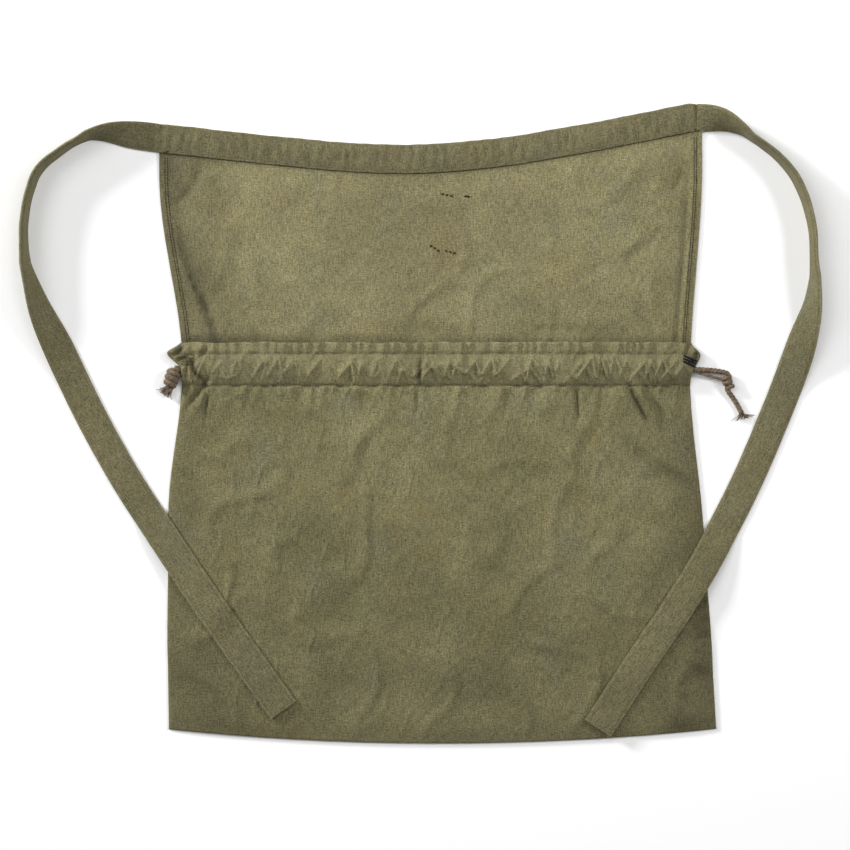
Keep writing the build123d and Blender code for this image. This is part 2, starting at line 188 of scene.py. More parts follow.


# %% [markdown]
# ### Washed cotton drill, olive drab
# Drill is a firm cotton cloth, here dyed olive and washed many times. What the eye gets from that is a dry,
# even surface with no gloss but a faint sheen of loose fibre, threads of slightly different dye running up
# the cloth, cloudy fading, and paler thread wherever an edge or a fold has rubbed. Crests also get a painted
# highlight and hollows a painted shade, both read from the vertices. The thread spacing is
# 0.5 mm, too fine to be seen from the camera, so the weave is drawn at about 1.3 mm. The patterns follow each
# piece's own UV map, which is laid out in metres of cloth, so they stay on the cloth when it moves.

# %% Cotton drill
def cotton_drill(name, pale, dark, dirt, seed, worn_and_lit="928c6d"):
    material, tree, shader = new_material(name)
    uv = add(tree, "UVMap", {"uv_map": "cloth"})
    place = add(tree, "Mapping", {"Location": (seed, seed * 0.7, 0)}, {"Vector": uv.outputs[0]})

    def clouds(scale, detail, stretch=(1, 1, 1), rough=0.6):
        spread = add(tree, "Mapping", {"Scale": stretch}, {"Vector": place.outputs[0]})
        return add(tree, "TexNoise", {"Scale": scale, "Detail": detail, "Roughness": rough},
                   {"Vector": spread.outputs[0]}).outputs["Fac"]

    def mixed(share, a, b, kind="MIX"):
        mix = add(tree, "Mix", {"data_type": "RGBA", "blend_type": kind})
        for socket, value in ((0, share), (6, a), (7, b)):
            if isinstance(value, bpy.types.NodeSocket):
                tree.links.new(value, mix.inputs[socket])
            else:
                mix.inputs[socket].default_value = value
        return mix.outputs[2]

    def stretched(source, low, high, to=(0.0, 1.0)):
        return add(tree, "MapRange", {"From Min": low, "From Max": high, "To Min": to[0], "To Max": to[1]},
                   {"Value": source}).outputs[0]

    fading = stretched(clouds(7, 3), 0.3, 0.7)  # clouds about 140 mm across
    patches = stretched(clouds(34, 4, rough=0.65), 0.36, 0.64)  # blotches about 30 mm across
    warp = stretched(clouds(800, 2, (1, 0.16, 1)), 0.32, 0.68)  # threads 1.3 mm apart, running up the cloth
    weft = stretched(clouds(800, 1, (0.25, 1, 1)), 0.32, 0.68)
    specks = stretched(clouds(700, 2, rough=0.8), 0.36, 0.64)
    colour = mixed(fading, linear(dark), linear(pale))
    colour = mixed(stretched(patches, 0, 1, (0.0, 0.34)), colour, linear(dirt))
    rust = stretched(clouds(15, 4, rough=0.65), 0.54, 0.74, (0.0, 0.30))
    colour = mixed(rust, colour, linear("7f6e40"))
    grey = stretched(clouds(22, 4, (1, 0.6, 1), rough=0.7), 0.54, 0.75, (0.0, 0.4))
    colour = mixed(grey, colour, linear("696a5a"))
    threads = add(tree, "Math", {"operation": "MULTIPLY_ADD", 1: 0.6}, {0: weft, 2: warp})
    grain = add(tree, "Math", {"operation": "MULTIPLY_ADD", 1: 1.5}, {0: specks, 2: threads.outputs[0]})
    bright = stretched(grain.outputs[0], 0.5, 2.6, (0.48, 1.52))
    colour = mixed(1.0, colour, bright, "MULTIPLY")
    # paler where edges are rubbed; on crests this paleness is partly a painted highlight
    wear_and_highlight = add(tree, "Attribute", {"attribute_name": "wear_and_highlight"})
    rubbed_and_lit = add(tree, "Math", {"operation": "MULTIPLY"},
                 {0: wear_and_highlight.outputs["Fac"], 1: stretched(specks, 0, 1, (0.4, 1.0))})
    colour = mixed(rubbed_and_lit.outputs[0], colour, linear(worn_and_lit))
    # painted shade: darker in hollows, creases, beside raised parts and towards the pouch's bottom and sides
    painted_shade = add(tree, "Attribute", {"attribute_name": "shade"})
    colour = mixed(painted_shade.outputs["Fac"], colour, linear("26231a"))
    tree.links.new(colour, shader.inputs["Base Color"])

    weave = add(tree, "Math", {"operation": "ADD"}, {0: warp, 1: weft})
    fluff = add(tree, "Math", {"operation": "MULTIPLY_ADD", 1: 0.7}, {0: specks, 2: weave.outputs[0]})
    fine = add(tree, "Bump", {"Strength": 0.5, "Distance": 0.00035}, {"Height": fluff.outputs[0]})
    crumple = clouds(85, 5, rough=0.62)
    soft = add(tree, "Bump", {"Strength": 0.45, "Distance": 0.0016},
               {"Height": crumple, "Normal": fine.outputs[0]})
    tree.links.new(soft.outputs[0], shader.inputs["Normal"])
    tree.links.new(stretched(specks, 0, 1, (0.82, 0.97)), shader.inputs["Roughness"])
    shader.inputs["IOR"].default_value = 1.5
    shader.inputs["Specular IOR Level"].default_value = 0.25
    shader.inputs["Sheen Weight"].default_value = 0.12
    shader.inputs["Sheen Roughness"].default_value = 0.5
    shader.inputs["Sheen Tint"].default_value = linear("b9b594")
    return material


drill_back = cotton_drill("washed_cotton_drill_back", "88825f", "777051", "655f44", 0.37)
drill_front = cotton_drill("washed_cotton_drill_pouch", "7f7958", "6d6849", "59543a", 1.91)
drill_band = cotton_drill("washed_cotton_drill_band", "746e51", "645f44", "544f37", 3.13)


# %% [markdown]
# ### Thread and cord
# Sewing thread is spun cotton: a matt strand that is a little paler or darker than the cloth it holds. The
# drawstring is a soft braided cotton cord that was never dyed olive and has aged to a grey taupe, with
# darker hollows between its strands. Both are too thin for more than a colour that changes along them.

# %% Thread and cord materials
def cotton_strand(name, pale, dark, size_mm, bump=0.0004):
    """Spun or braided cotton, whose colour changes over about size_mm."""
    material, tree, shader = new_material(name)
    place = add(tree, "TexCoord")
    grain = add(tree, "TexNoise", {"Scale": 1000 / size_mm, "Detail": 4, "Roughness": 0.7},
                {"Vector": place.outputs["Object"]})
    tone = add(tree, "ValToRGB", links={"Fac": grain.outputs["Fac"]})
    tone.color_ramp.elements[0].position = 0.32
    tone.color_ramp.elements[1].position = 0.68
    tone.color_ramp.elements[0].color = linear(dark)
    tone.color_ramp.elements[1].color = linear(pale)
    bumps = add(tree, "Bump", {"Strength": 0.6, "Distance": bump}, {"Height": grain.outputs["Fac"]})
    tree.links.new(tone.outputs[0], shader.inputs["Base Color"])
    tree.links.new(bumps.outputs[0], shader.inputs["Normal"])
    shader.inputs["Roughness"].default_value = 0.9
    shader.inputs["Sheen Weight"].default_value = 0.03
    shader.inputs["Specular IOR Level"].default_value = 0.15
    return material


thread_olive = cotton_strand("spun_cotton_thread_olive", "878163", "504a31", 2.0)
thread_hem = cotton_strand("spun_cotton_thread_hem", "3b3323", "221c12", 3.0)
thread_dark = cotton_strand("spun_cotton_thread_brown", "4a3520", "24190e", 2.0)
thread_navy = cotton_strand("spun_cotton_thread_navy", "26252b", "111115", 2.0)
cord_taupe = cotton_strand("braided_cotton_cord_taupe", "897863", "443a2e", 2.6)
for name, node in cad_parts.items():
    node.data.materials.clear()
    node.data.materials.append(thread_olive)

# %% Table
bm = bmesh.new()
bmesh.ops.create_grid(bm, x_segments=1, y_segments=1, size=4.0)
bmesh.ops.translate(bm, verts=bm.verts, vec=(0, 0, -0.00002))
white, tree, shader = new_material("matt_white_table")
shader.inputs["Base Color"].default_value = linear("fdfdfd")
shader.inputs["Roughness"].default_value = 0.9
table = piece("table", bm, white)

# %% [markdown]
# ## The drawstring
# The drawstring is about 5 mm thick and limp. Inside the channel it is hidden. Outside, its right end makes
# a tight loop into a stop knot and ends in a frayed tip, and its left end disappears straight into a stop
# knot. A cord's line is one NURBS spline through a short list of places, and everything on the cord, such
# as its braid, is made from points that are read back from that spline.

# %% Routes of the cord
CORD = 5.0 * MM
CHANNEL_Z = 5.3
RIGHT_ROUTE = [(212, 84, CHANNEL_Z), (264, 84, CHANNEL_Z), (268.5, 73.5, 4.4), (263.5, 66, 3.4),
               (272.5, 55.5, 2.7), (278.5, 43.5, 2.6)]
LEFT_ROUTE = [(-202, 84, CHANNEL_Z), (-222, 84, CHANNEL_Z), (-243, 84, CHANNEL_Z)]


def spline(name, route_mm):
    """A NURBS curve whose control points are the route's points."""
    curve = bpy.data.curves.new(name, "CURVE")
    curve.dimensions = "3D"
    curve.resolution_u = 16
    line = curve.splines.new("NURBS")
    line.points.add(len(route_mm) - 1)
    for point, place in zip(line.points, route_mm):
        point.co = (*(v * MM for v in place), 1)
    line.order_u = 3
    line.use_endpoint_u = True
    made = bpy.data.objects.new(name, curve)
    bpy.context.scene.collection.objects.link(made)
    return made


def read_line(curve):
    """The points that Blender's spline really goes through."""
    mesh = bpy.data.meshes.new_from_object(curve)
    points = [v.co.copy() for v in mesh.vertices]
    bpy.data.meshes.remove(mesh)
    return points


def resample(points, step):
    """Points a step apart along a line, with its two ends kept."""
    lengths = [0.0]
    for a, b in zip(points, points[1:]):
        lengths.append(lengths[-1] + (b - a).length)
    count = max(2, round(lengths[-1] / step) + 1)
    found, i = [], 0
    for n in range(count):
        at = lengths[-1] * n / (count - 1)
        while i < len(points) - 2 and lengths[i + 1] < at:
            i += 1
        span = lengths[i + 1] - lengths[i]
        found.append(points[i].lerp(points[i + 1], (at - lengths[i]) / span if span else 0.0))
    return found, lengths[-1]


def directions(points):
    """The way that a line goes at each of its points."""
    ahead = points[1:] + [points[-1] * 2 - points[-2]]
    behind = [points[0] * 2 - points[1]] + points[:-1]
    return [(b - a).normalized() for a, b in zip(behind, ahead)]


# %% [markdown]
# A tube could be extruded ring by ring, but a grid that is rolled up is simpler: one side of the grid runs
# along the line and the other round it. Its long edges are then merged and its ends filled. The radius may
# change along the line, which gives a frayed fibre its thin tip.

# %% A grid with its vertices placed, and a tube made from one
def placed_grid(bm, across, along, place):
    """Adds a grid whose vertices go to place(u, v), u and v from 0 to 1, and returns them with u and v."""
    made = bmesh.ops.create_grid(bm, x_segments=across, y_segments=along, size=0.5)["verts"]
    found = [(v, round((v.co.x + 0.5) * across) / across, round((v.co.y + 0.5) * along) / along)
             for v in made]
    for v, share_across, share_along in found:
        v.co = place(share_across, share_along)
    return found


def join(bm, part):
    """Adds a small bmesh to a large one, which is much quicker than making the small one inside it."""
    mesh = bpy.data.meshes.new("part")
    part.to_mesh(mesh)
    part.free()
    bm.from_mesh(mesh)
    bpy.data.meshes.remove(mesh)


def add_tube(whole, points, radius, sides=8, flat=1.0):
    """Adds a closed tube whose radius is a number or a function of the share of its length."""
    bm = bmesh.new()
    ways = directions(points)
    sideways = []
    side = ways[0].cross(Vector((0, 0, 1)))
    side = side.normalized() if side.length > 0.1 else Vector((1, 0, 0))
    for way in ways:
        side = (side - way * side.dot(way)).normalized()
        sideways.append(side.copy())
    last = len(points) - 1

    def place(around, along):
        n = round(along * last)
        wide = radius(along) if callable(radius) else radius
        turn = 2 * pi * (round(around * sides) % sides) / sides
        up = sideways[n].cross(ways[n])
        return points[n] + (sideways[n] * cos(turn) - up * sin(turn) * flat) * wide

    placed_grid(bm, sides, last, place)
    bmesh.ops.remove_doubles(bm, verts=bm.verts, dist=1e-7)
    bmesh.ops.holes_fill(bm, edges=[edge for edge in bm.edges if edge.is_boundary], sides=sides)
    join(whole, bm)


def finished(name, bm, material):
    """The piece with its normals pointing outwards."""
    bmesh.ops.recalc_face_normals(bm, faces=bm.faces)
    return piece(name, bm, material)


def braid(name, line, diameter, material, strands=3, pitch=11 * MM):
    """A soft cord: strands that wind round its line, a third of a turn apart."""
    points, length = resample(line, 1.2 * MM)
    bm = bmesh.new()
    for strand in range(strands):
        path = []
        for n, (at, way) in enumerate(zip(points, directions(points))):
            side = way.cross(Vector((0, 0, 1))).normalized()
            turn = 2 * pi * (n / (len(points) - 1) * length / pitch + strand / strands)
            path.append(at + (side * cos(turn) + side.cross(way) * sin(turn)) * diameter * 0.23)
        add_tube(bm, path, diameter * 0.28, sides=7)
    print(name, "is", round(length / MM, 1), "mm long")
    return finished(name, bm, material), points, length


guides = [spline("right_guide", RIGHT_ROUTE), spline("left_guide", LEFT_ROUTE)]
right_line, left_line = (read_line(guide) for guide in guides)
for guide in guides:
    bpy.data.objects.remove(guide)
cord_right, right_points, right_length = braid("drawstring_right", right_line, CORD, cord_taupe)
cord_left, left_points, left_length = braid("drawstring_left", left_line, CORD, cord_taupe)

# %% [markdown]
# ### Stop knots
# A stop knot is a few tight turns of the cord round itself. A helix of a thick tube with a soft core inside
# gives its bulging turns and the dark gaps between them.

# %% Knots and the strand that comes back
def knot(name, centre, axis, turns, ring, strand, step, squeeze=0.8, seed=1):
    """Tight turns of cord round an axis through the centre; all sizes in mm."""
    rng = Random(seed)
    axis = Vector(axis).normalized()
    side = axis.cross(Vector((0, 0, 1))).normalized()
    up = side.cross(axis)
    middle = Vector(centre)
    points = []
    for n in range(int(turns * 22) + 1):
        turn = n / 22
        bulge = 1 - 0.22 * abs(2 * turn / turns - 1) ** 2
        along = (turn - turns / 2) * step + 0.5 * sin(2 * pi * turn + 1)
        spot = (middle + axis * along
                + (side * cos(2 * pi * turn) + up * squeeze * sin(2 * pi * turn)) * ring * bulge)
        points.append(spot * MM)
    bm = bmesh.new()
    add_tube(bm, points, strand * MM, sides=9)
    core = [(middle + axis * (s * turns * step)) * MM for s in (-0.5, -0.25, 0, 0.25, 0.5)]
    add_tube(bm, core, ring * 0.95 * MM, sides=9, flat=squeeze)
    for n in range(26):
        turn = rng.uniform(0.05, 0.95) * turns
        spot = [points[min(len(points) - 1, int(turn * 22) + k)] for k in range(0, 9, 2)]
        lift = Vector((rng.uniform(-1, 1), rng.uniform(-1, 1), rng.uniform(0, 1))) * strand * 0.25 * MM
        out = [(p - middle * MM).normalized() * strand * 0.86 * MM + p + lift for p in spot]
        if len({tuple(p) for p in out}) == len(out):
            add_tube(bm, out, lambda s: 0.42 * MM * (1.05 - abs(2 * s - 1)), sides=4)
    return finished(name, bm, cord_taupe)


knot_left = knot("stop_knot_left", (-246.8, 77.0, 6.6), (0.3, 1, 0), 3.3, 4.3, 3.0, 4.9, seed=4)
knot_right = knot("stop_knot_right", (265.6, 71.2, 4.9), (-0.72, 1, 0.05), 2.4, 2.5, 2.1, 4.6, seed=9)
strand_line = [Vector(p) * MM for p in ((239, 80.5, 5.4), (246, 78.3, 5.1), (253, 76.6, 4.6),
                                        (259, 75.2, 4.4), (262, 73, 4.4))]
strand_right, _, _ = braid("return_strand_right", strand_line, 3.0 * MM, cord_taupe, pitch=8 * MM)


# %% [markdown]
# ### Frayed tips
# Where a cotton cord is cut and left, its strands untwist into a tuft. Each fibre is a thin tapered tube
# with its own bend. The random generator has a fixed seed, so that every run grows the same tuft.

# %% Tufts
def tuft(name, root, way, reach, spread, fibres, seed, thick=0.55, fanned=0.42):
    rng = Random(seed)
    way = Vector(way).normalized()
    side = way.cross(Vector((0, 0, 1))).normalized()
    bm = bmesh.new()
    for _ in range(fibres):
        fan = rng.gauss(0, fanned)
        lift = rng.uniform(-0.25, 0.35)
        curl = rng.gauss(0, 1.2 * fanned)
        long = reach * rng.uniform(0.55, 1.0)
        start = (Vector(root) + side * rng.uniform(-1, 1) * spread * 0.35
                 + Vector((0, 0, rng.uniform(-0.8, 0.8))))
        points = []
        for n in range(7):
            s = n / 6
            bend = fan * s + curl * s * s
            spot = start + way * long * s + side * long * s * bend + Vector((0, 0, 1)) * lift * long * s * 0.6
            spot.z = max(0.7, spot.z)
            points.append(spot * MM)
        add_tube(bm, points, lambda s: thick * MM * (1 - 0.75 * s), sides=5)
    return finished(name, bm, cord_taupe)


tuft_left = tuft("frayed_tip_left", (-247.4, 69.5, 4.2), (-0.75, -1, 0), 12.5, 8.0, 90, 5,
                 thick=0.9, fanned=0.16)
tuft_right = tuft("frayed_tip_right", (277.9, 45.5, 2.9), (0.25, -1, 0), 9.0, 4.5, 44, 6, thick=0.6)

# %% [markdown]
# ## The cloth body
# The apron's body is one piece of drill. Its upper part shows above the pouch, and all of it shows from the
# back. The outline is read from the CAD node, so it fits the frame. The side hems are a double layer, turned
# in and sewn with two rows, and the cloth buckles beside them.

# %% Outline of the body, read from the frame
def corners_of(node, choose):
    """The (x, y) of a node's vertices that choose() accepts, in mm, sorted by x."""
    return sorted({(round(v.co.x / MM, 1), round(v.co.y / MM, 1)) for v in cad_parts[node].data.vertices
                   if choose(*(v.co / MM))})


def side_rim(sign, top):
    """(y, x) along one side edge of the body, up to height top."""
    places = corners_of("back_cloth", lambda x, y, z: sign * x > 225 and -200 < y < top)
    outer = [(y, x) for x, y in places
             if not any(abs(b - y) < 9 and sign * a > sign * x + 2 for a, b in places)]
    corner = max(corners_of("bottom_fold", lambda x, y, z: True),
                 key=lambda place: (sign * place[0], -place[1]))
    return [(corner[1], corner[0])] + sorted(outer)


BAND_WIDE = 26.5
ROW_LOW, ROW_HIGH, HEADER_TOP = 68.6, 98.2, 108.6  # the mouth's two rows of sewing and its top edge
MOUTH_WIDE = ROW_HIGH - ROW_LOW
CORD_Y = 84.0
RIMS = {-1: side_rim(-1, 283), 1: side_rim(1, 303)}
band_places = corners_of("waistband", lambda x, y, z: z > 1.7)
BAND_RIM = [(x, y) for x, y in band_places
            if any(abs(a - x) < 0.6 and abs(b - y - BAND_WIDE) < 0.4 for a, b in band_places)]
BAND_RIM = sorted({round(x): (x, y) for x, y in BAND_RIM}.values())
FOLD_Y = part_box("bottom_fold")[0].y / MM
FOLD_RISE = RIMS[-1][0][0] - FOLD_Y


def edge_x(side, y):
    """The body's side edge at height y: side is -1 for left and 1 for right."""
    rim = RIMS[side]
    return ramp(min(max(y, rim[0][0]), rim[-1][0]), rim)


def band_y(x):
    """The lower edge of the waistband."""
    return ramp(x, BAND_RIM)


def fold_y(x):
    """The lowest edge of the bottom fold, a shallow arc."""
    return FOLD_Y + FOLD_RISE * (x / 250) ** 2


print("edges at y=0:", round(edge_x(-1, 0)), round(edge_x(1, 0)), "band at x=0 and 241:", round(band_y(0)),
      round(band_y(241)), "fold", round(FOLD_Y), "rising", round(FOLD_RISE))


# %% Creases: ridges and valleys along short lines
def crease(x, y, line):
    """Height at (x, y) of one crease: (x0, y0, x1, y1, width, height) in mm. Height below 0 is a valley."""
    x0, y0, x1, y1, width, height = line
    dx, dy = x1 - x0, y1 - y0
    length = (dx * dx + dy * dy) ** 0.5
    along = ((x - x0) * dx + (y - y0) * dy) / length
    across = ((x - x0) * dy - (y - y0) * dx) / length
    if not -width < along < length + width or abs(across) > 4 * width:
        return 0.0
    across += 0.4 * width * hills(along, 0, 14, x0)
    ends = ease(along, -width, 0.3 * length) * (1 - ease(along, 0.55 * length, length + width))
    return height * ends * exp(-(across / width) ** 2)


BODY_CREASES = [
    (-222, 272, -228, 250, 3.5, -1.1), (-228, 252, -249, 236, 3, -1.3), (-212, 262, -198, 244, 3, -0.7),
    (165, 178, 208, 214, 5, -0.9), (178, 150, 200, 108, 4, -1.0), (120, 165, 160, 185, 6, -0.6),
    (226, 268, 214, 248, 3, -0.9), (205, 262, 196, 246, 4, 0.7), (-172, 124, -166, 104, 3, -0.9),
    (-150, 240, -120, 262, 7, 0.6), (70, 150, 110, 128, 7, -0.6), (235, 300, 228, 262, 2.5, 0.8),
    (-60, 122, 40, 116, 7, -0.8), (60, 120, 190, 118, 6, -0.9), (-220, 150, -212, 108, 5, -0.8),
    (-100, 262, -96, 236, 3, 0.6), (-20, 258, -14, 232, 3, 0.5), (60, 266, 66, 244, 3, 0.6),
    (120, 276, 130, 250, 3, 0.6),
]
HEM_ROWS = (5.2, 7.6)


def body_height(x, y):
    """Height of the body's upper surface above the table."""
    left, right = x - edge_x(-1, y), edge_x(1, y) - x
    inside = min(left, right)
    shown = ease(y, 92, 116)
    high = 1.0
    if shown > 0:
        band = band_y(x)
        soft = 2.2 * (1 + hills(x, y, 95, 4.2)) + 1.3 * (1 + hills(x, y, 36, 7.7))
        sharp = (1.4 * ease(ridges(x * 1.1, y * 0.8, 75, 2.5), 0.75, 1)
                 + 0.8 * ease(ridges(x, y, 33, 9.1), 0.78, 1))
        calm = ease(inside, 6, 45) * (1 - ease(y, band - 26, band - 2))
        high += shown * calm * (soft + sharp)
        high += 2.4 * shown * sum(crease(x, y, line) for line in BODY_CREASES) * ease(inside, 3, 9)
        high += 0.9 * shown * (1 - ease(inside, 8.6, 9.6))
        high -= 0.35 * shown * sum(exp(-((inside - row) / 0.7) ** 2) for row in HEM_ROWS)
        # the left hem's inner edge lifts in a narrow pleat that widens towards the mouth
        pleat = 10 + 19 * (1 - ease(y, 100, 205))
        lifted = shown * (1 - ease(y, 150, 215))
        high += 3.4 * lifted * ease(left, 7, pleat) * (1 - ease(left, pleat, pleat + 2.4))
        # the right hem stands up along its inner edge
        stand = 10.5 + 1.5 * hills(y, 3, 40)
        lifted = shown * (1 - ease(y, 235, 285))
        high += 3.0 * lifted * ease(right, 4, stand - 1) * (1 - ease(right, stand, stand + 2.2))
        high += 0.5 * ease(y, band - 10, band + 1)
    return max(1.0, high)


# %% [markdown]
# `cloth_piece` turns such a height function into cloth: a grid, its UV map in metres of cloth, and two values
# on the vertices: one where edges are rubbed pale and crests get a painted highlight, and `shade`, a painted
# shade in hollows, creases and beside raised parts. The material reads both.

# %% Cloth from a grid
def cloth_piece(name, across, along, place, material, thickness, flat=None, wear_and_highlight=None, shade=None):
    """place(u, v) is a point in mm and flat(u, v) its place on the uncut cloth in mm, or else its x and y."""
    bm = bmesh.new()
    worn_and_lit = bm.verts.layers.float.new("wear_and_highlight")
    dark = bm.verts.layers.float.new("shade")
    spread = bm.verts.layers.float_vector.new("spread")
    for vert, u, v in placed_grid(bm, across, along, lambda u, v: Vector(place(u, v))):
        vert[spread] = Vector((*(flat(u, v) if flat else vert.co.xy), 0)) * MM
        vert[worn_and_lit] = wear_and_highlight(u, v, vert.co) if wear_and_highlight else 0.0
        vert[dark] = shade(u, v, vert.co) if shade else 0.0
        vert.co *= MM
    bm.normal_update()
    if sum(face.normal.z * face.calc_area() for face in bm.faces) < 0:
        bmesh.ops.reverse_faces(bm, faces=bm.faces)
    bmesh.ops.solidify(bm, geom=bm.faces[:], thickness=thickness * MM)
    layer = bm.loops.layers.uv.new("cloth")
    for face in bm.faces:
        for loop in face.loops:
            loop[layer].uv = loop.vert[spread].xy
    bm.verts.layers.float_vector.remove(spread)
    for vert in bm.verts:  # nothing reaches into the table
        vert.co.z = max(vert.co.z, 0.05 * MM)
    bm.normal_update()
    for edge in bm.edges:
        if edge.is_manifold and edge.calc_face_angle() > 1.0:
            edge.smooth = False
    return piece(name, bm, material)


def stop(stops, share):
    """The value at a share of the way through a list of evenly spaced stops."""
    at = share * (len(stops) - 1)
    n = min(len(stops) - 2, int(at + 1e-6))
    return stops[n] + (stops[n + 1] - stops[n]) * (at - n)


def steps(low, high, count):
    """Even values from low to just before high."""
    return [low + (high - low) * n / count for n in range(count)]


# %% Body of the apron
DRILL = 0.9
EDGE = [0, 0.12, 0.5, 0.9]  # percent of the half width, where the edge of the cloth is rounded
ACROSS = steps(1.2, 100, 84) + [100]
HALF = [v / 100 for v in EDGE + ACROSS]
BODY_ACROSS = [v - 1 for v in HALF] + [1 - v for v in reversed(HALF[:-1])]
BODY_ROWS = 158


def body_place(u, v):
    share = stop(BODY_ACROSS, u)
    low, high = fold_y(0) + 2.2, band_y(0) + 6
    y = low + (high - low) * v
    side = -1 if share < 0 else 1
    x = share * side * edge_x(side, y)
    y = fold_y(x) + 2.2 + v * (band_y(x) + 6 - fold_y(x) - 2.2)
    x = share * side * edge_x(side, y)
    return x, y, body_height(x, y)


def edge_wear(u, v, at):
    return 0.4 * (1 - ease(min(u, 1 - u), 0.0, 0.012))


def body_shade(u, v, at):
    """Painted shade: shadows beside the raised hems and along the band's edge, a shadow above the pouch's
    frill, darker creases and a darker left side.
    """
    x, y = at.xy
    left, right = x - edge_x(-1, y), edge_x(1, y) - x
    if y < 96:
        return 0.0
    pleat = 10 + 19 * (1 - ease(y, 100, 205))
    shade = 0.42 * (1 - ease(abs(left - pleat - 3.5), 0.5, 5)) * (1 - ease(y, 160, 262))
    shade += 0.5 * (1 - ease(abs(right - 14.5), 0.5, 4)) * (1 - ease(y, 225, 292))
    shade += 0.42 * (1 - ease(left, 12, 90)) * (0.8 + 0.5 * hills(x, y, 30))
    shade += 0.42 * (1 - ease(y, HEADER_TOP, HEADER_TOP + 11)) * (0.75 + 0.6 * hills(x, 3, 26))
    shade += min(0.25, max(0.0, -0.2 * sum(crease(x, y, line) for line in BODY_CREASES)))
    return min(0.6, max(0.0, shade) + 0.3 * (1 - ease(abs(band_y(x) - y), 0.5, 3)))


body = cloth_piece("apron_body", len(BODY_ACROSS) - 1, BODY_ROWS, body_place, drill_back, DRILL,
                   wear_and_highlight=edge_wear,
                   shade=body_shade)

# %% [markdown]
# ## The pouch
# The same cloth turns up at the bottom fold and becomes the front of the pouch. Its mouth is hemmed into a
# channel, and the drawstring has gathered it, so the cloth stands in sharp slanting puckers between the two
# rows of sewing, ripples in the frill above them and runs out in soft folds below. The front is made as a
# left and a right half, because it is sewn down at both sides and only its middle lifts.
# Both halves read the same height function, so they meet without a step.

# %% Shape of the front
FRONT_CREASES = [
    (-17, 96, -21, 64, 2.6, -1.9), (-13, 96, -15, 66, 2.4, 1.3), (-21, 68, -22, 36, 2.2, -1.2),
    (126, 70, 127, 30, 2.2, -1.8), (176, 76, 205, 26, 4.5, 2.4), (171, 74, 199, 24, 3, -2.4),
    (184, 74, 212, 28, 3, -1.0), (-231, 88, -216, 68, 2.4, -1.9), (-210, 80, -240, 40, 3, -1.8),
    (-205, 78, -234, 36, 3, 1.2), (-215.5, 70, -216.5, 26, 2.2, -1.3), (-180, 66, -176, 40, 4, -0.9),
    (60, 66, 64, 44, 4, -0.8), (-70, 66, -74, 38, 5, -0.8), (-120, 66, -124, 34, 5, 0.8),
    (251, -128, 228, -140, 3, -1.0), (-246, 96, -232, 107, 2.0, -1.7), (-243, 91, -228, 97, 1.8, -1.4),
    (-238, 108, -226, 90, 2.2, 1.6),
    (-214, 106, -222, 92, 2.2, -1.5), (239, 108, 236, 92, 1.6, -1.8), (229, 107, 227, 95, 2.0, -1.4),
    (233, 90, 240, 96, 1.6, -1.5), (253, -158, 232, -166, 3, -0.9), (254, -200, 226, -190, 4, -0.8),
    (-246, -6, -214, -30, 4, -0.7), (160, 20, 250, -36, 6, -1.4), (150, -10, 226, -60, 6, 1.2),
    (-40, 40, 10, -10, 7, 0.9), (-60, 30, -90, -50, 7, -0.8),
    (-252, -100, -226, -110, 4, -0.7), (90, 30, 150, -30, 8, 0.7),
]


def zigzag(t):
    """A triangle wave from 0 to 1, with one crest for each whole number."""
    return 1 - abs(2 * (t % 1) - 1)


def pleat_line(seed, near, far, top, bottom):
    """The corners of a crest that runs to and fro between the rows of sewing, as drawn-up cloth folds."""
    rng = Random(seed)
    corners, x, high = [], -252, True
    while x < 252:
        corners.append((x, ROW_HIGH - rng.uniform(*top) if high else ROW_LOW + rng.uniform(*bottom)))
        x += rng.uniform(near, far)
        high = not high
    return corners


PLEATS = [pleat_line(3, 3, 15, (0, 9), (-1, 12)), pleat_line(8, 4, 19, (1, 15), (-1, 7))]


def gathers(x, y):
    """Puckers from 0 to 1: sharp crests in the shape of a V, with plain facets between them."""
    drift = 1.1 * hills(x, y, 7, 3.3)
    full = 0.5 + 0.5 * ease(hills(x, 0.6 * y, 34, 6.1), -0.25, 0.2)
    best = 0.0
    for corners, weight in zip(PLEATS, (1.0, 0.8)):
        for (x0, y0), (x1, y1) in zip(corners, corners[1:]):
            if x0 - 9 < x < x1 + 9:
                dx, dy = x1 - x0, y1 - y0
                share = min(1.0, max(0.0, ((x - x0) * dx + (y - y0) * dy) / (dx * dx + dy * dy)))
                off = abs(((x - x0 - share * dx) ** 2 + (y - y0 - share * dy) ** 2) ** 0.5 + drift * 0.5)
                best = max(best, weight * full * (0.55 * exp(-off / 1.5) + 0.45 * max(0.0, 1 - off / 8)))
    return best


def front_edge(side, y):
    """The front's side edge, where the corner of the frill sticks out."""
    reach, middle, low, high = (13.5, 99, 10, 6) if side < 0 else (9, 97, 13, 7)
    spread = low if y < middle else high
    return edge_x(side, y) + side * reach * exp(-((y - middle) / spread) ** 2)


def row_dip(y):
    """How far the mouth's cloth is pulled down, at its two rows of sewing."""
    return sum(exp(-((y - row) / 1.5) ** 2) for row in (ROW_LOW, ROW_HIGH))


